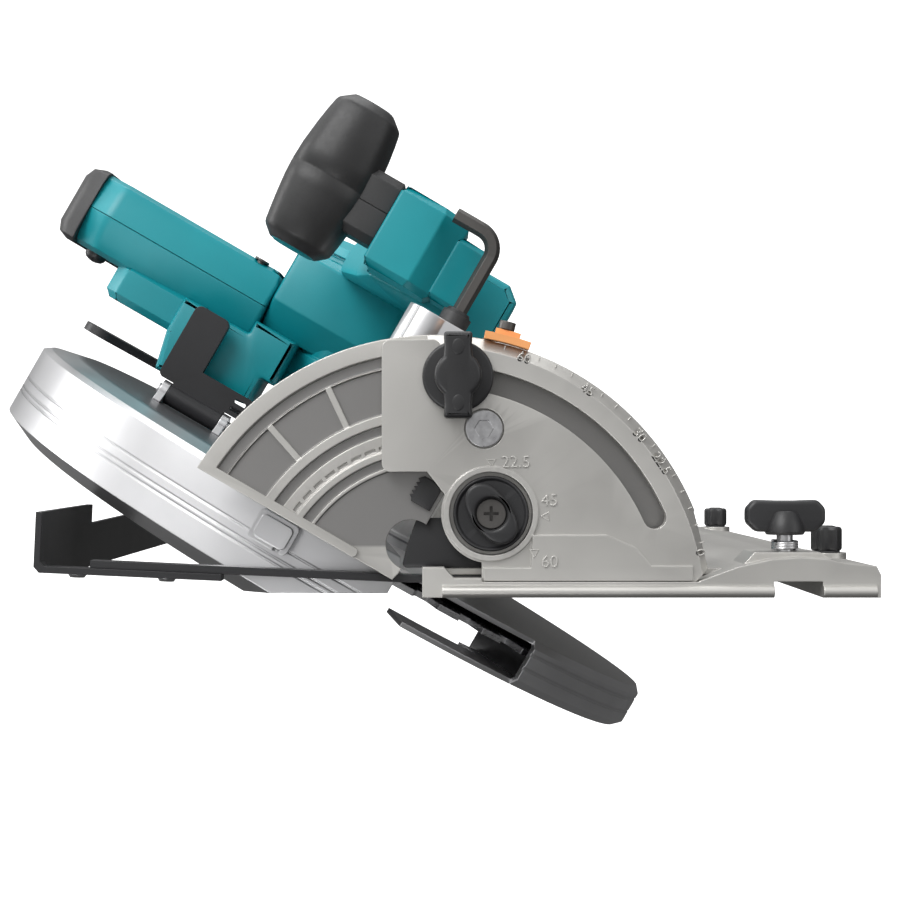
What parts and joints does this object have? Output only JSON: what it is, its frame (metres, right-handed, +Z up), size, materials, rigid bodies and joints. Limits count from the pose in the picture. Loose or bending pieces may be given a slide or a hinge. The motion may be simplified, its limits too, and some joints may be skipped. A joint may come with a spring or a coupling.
{
  "type": "circular saw",
  "caption": "Cordless circular saw with a bevelling head, die-cast guide-rail base, spring lower guard, depth swing, rip fence, front grip and slide-on battery.",
  "frame": {"origin": "point on the sole where the cut line crosses the front strip of the base", "axes": "+X towards the motor side, -Y towards the saw's front, +Z up from the sole; the head is stored at full bevel"},
  "size_m": [0.3403, 0.4034, 0.2534],
  "materials": {
    "black_oxide": "black oxide on steel",
    "black_plastic": "glass-filled nylon, black",
    "blade_steel": "ground plate with carbide teeth",
    "board": "populated circuit board",
    "case_silver": "silver lacquer over die-cast aluminium",
    "copper": "wound stator with varnish",
    "dark_steel": "black lacquered sheet steel",
    "magnesium": "die-cast, satin grey, lightly textured",
    "orange_plastic": "moulded pointer",
    "red_plastic": "moulded latch button",
    "rubber": "soft overmould, fine grain",
    "steel": "turned and ground",
    "teal_plastic": "glass-filled nylon, fine spark texture"
  },
  "bodies": {
    "base": {"base_plate": "magnesium", "front_angle_plate": "magnesium", "rear_angle_plate": "magnesium", "angle_plate_screws": "steel", "fence_spring": "steel"},
    "stop_knob": {"bevel_stop_knob": "black_plastic", "stop_knob_screw": "black_oxide"},
    "front_adjuster": {"front_rail_adjuster": "black_plastic"},
    "rear_adjuster": {"rear_rail_adjuster": "black_plastic"},
    "wing_bolt": {"fence_wing_bolt": "black_plastic"},
    "fence": {"fence_rule": "dark_steel", "fence_plate": "dark_steel", "fence_rivets": "steel"},
    "carriage": {"front_sector": "magnesium", "rear_sector": "magnesium", "depth_pivot_pin": "steel", "depth_guide": "dark_steel", "clamp_studs": "steel", "bevel_pointer": "orange_plastic", "pointer_screw": "black_oxide"},
    "front_clamp": {"front_clamp_knob": "black_plastic"},
    "rear_clamp": {"rear_clamp_lever": "black_plastic"},
    "head": {"upper_guard": "case_silver", "guard_bracket": "case_silver", "gear_housing": "case_silver", "gear_cover": "case_silver", "motor_housing": "teal_plastic", "motor_end_cover": "teal_plastic", "controller_cover": "teal_plastic", "housing_screws": "black_oxide", "handle_shell_left": "teal_plastic", "handle_shell_right": "teal_plastic", "handle_rubber": "rubber", "front_arm": "teal_plastic", "front_grip_core": "teal_plastic", "front_grip_rubber": "rubber", "key_grommet": "rubber", "stator": "copper", "bearings": "steel", "controller_board": "board", "switch_body": "black_plastic", "battery_terminal": "black_plastic", "hook_bracket": "case_silver"},
    "hook": {"hanging_hook": "dark_steel"},
    "blade_shaft": {"spindle": "steel", "spindle_gear": "steel", "blade_flanges": "black_oxide", "blade": "blade_steel", "blade_bolt": "black_oxide"},
    "middle_shaft": {"intermediate_gear": "steel"},
    "rotor": {"motor_rotor": "steel", "cooling_fan": "black_plastic"},
    "guard": {"lower_guard": "case_silver"},
    "trigger": {"trigger": "black_plastic"},
    "lock_off": {"lock_off_button": "black_plastic"},
    "shaft_lock": {"shaft_lock_button": "black_plastic"},
    "depth_lock": {"depth_lock_lever": "black_plastic"},
    "battery": {"battery_pack": "black_plastic"},
    "battery_latch": {"battery_button": "red_plastic"},
    "key": {"hex_key": "black_oxide"}
  },
  "joints": [
    {"name": "bevel_tilt", "type": "hinge", "parent": "base", "child": "carriage", "pos_m": [0, 0, -0.0066], "axis": [0, 1, 0], "range_deg": [0, 60]},
    {"name": "depth_swing", "type": "hinge", "parent": "carriage", "child": "head", "pos_m": [-0.02729, 0.014, 0.05534], "axis": [0.5, 0, 0.866], "range_deg": [0, 12.5]},
    {"name": "stop_knob_turn", "type": "hinge", "parent": "base", "child": "stop_knob", "pos_m": [0.0195, -0.02, 0.0293], "axis": [0, 1, 0], "range_deg": [-90, 90]},
    {"name": "front_adjuster_turn", "type": "hinge", "parent": "base", "child": "front_adjuster", "pos_m": [0.147, 0.032, 0.02], "axis": [0, 0, 1], "range_deg": [-90, 90]},
    {"name": "rear_adjuster_turn", "type": "hinge", "parent": "base", "child": "rear_adjuster", "pos_m": [0.147, 0.318, 0.02], "axis": [0, 0, 1], "range_deg": [-90, 90]},
    {"name": "wing_bolt_turn", "type": "hinge", "parent": "base", "child": "wing_bolt", "pos_m": [0.125, -0.00275, 0.02], "axis": [0, 0, 1], "range_deg": [-180, 180]},
    {"name": "fence_slide", "type": "slide", "parent": "base", "child": "fence", "axis": [-1, 0, 0], "range_m": [0, 0.06]},
    {"name": "front_clamp_turn", "type": "hinge", "parent": "carriage", "child": "front_clamp", "pos_m": [0.00792, -0.02, 0.07723], "axis": [0, 1, 0], "range_deg": [0, 90]},
    {"name": "rear_clamp_turn", "type": "hinge", "parent": "carriage", "child": "rear_clamp", "pos_m": [0.00442, 0.34, 0.04019], "axis": [0, 1, 0], "range_deg": [-75, 0]},
    {"name": "hook_swing", "type": "hinge", "parent": "head", "child": "hook", "pos_m": [-0.10214, 0.128, 0.06969], "axis": [0.866, 0, -0.5], "range_deg": [0, 75]},
    {"name": "blade_spin", "type": "hinge", "parent": "head", "child": "blade_shaft", "pos_m": [-0.03603, 0.16, 0.0142], "axis": [0.5, 0, 0.866], "continuous": true},
    {"name": "middle_spin", "type": "hinge", "parent": "head", "child": "middle_shaft", "pos_m": [-0.04904, 0.164, 0.04481], "axis": [0.5, 0, 0.866], "continuous": true},
    {"name": "rotor_spin", "type": "hinge", "parent": "head", "child": "rotor", "pos_m": [-0.03807, 0.18323, 0.08466], "axis": [0.5, 0, 0.866], "continuous": true},
    {"name": "guard_swing", "type": "hinge", "parent": "head", "child": "guard", "pos_m": [-0.03603, 0.16, 0.0142], "axis": [0.5, 0, 0.866], "range_deg": [0, 105], "stiffness_Nm_per_rad": 0.15, "springref_deg": -126.05},
    {"name": "trigger_pull", "type": "slide", "parent": "head", "child": "trigger", "axis": [-0.866, 0, 0.5], "range_m": [0, 0.004], "stiffness_N_per_m": 800, "springref_m": -0.004},
    {"name": "lock_off_push", "type": "slide", "parent": "head", "child": "lock_off", "axis": [0.5, 0, 0.866], "range_m": [0, 0.004], "stiffness_N_per_m": 400, "springref_m": -0.004},
    {"name": "shaft_lock_push", "type": "slide", "parent": "head", "child": "shaft_lock", "axis": [0, 1, 0], "range_m": [0, 0.003], "stiffness_N_per_m": 600, "springref_m": -0.004},
    {"name": "depth_lock_turn", "type": "hinge", "parent": "head", "child": "depth_lock", "pos_m": [-0.03329, 0.269, 0.04495], "axis": [0.5, 0, 0.866], "range_deg": [0, 60]},
    {"name": "battery_slide", "type": "slide", "parent": "head", "child": "battery", "axis": [0, 1, 0], "range_m": [0, 0.1]},
    {"name": "battery_latch_push", "type": "slide", "parent": "battery", "child": "battery_latch", "axis": [0, -1, 0], "range_m": [0, 0.001], "stiffness_N_per_m": 800, "springref_m": -0.004},
    {"name": "key_pull", "type": "slide", "parent": "head", "child": "key", "axis": [0.5, 0, 0.866], "range_m": [0, 0.08]}
  ],
  "couplings": [
    {"joint": "middle_spin", "follows": "blade_spin", "ratio": -2.9091},
    {"joint": "rotor_spin", "follows": "blade_spin", "ratio": 8.404}
  ]
}
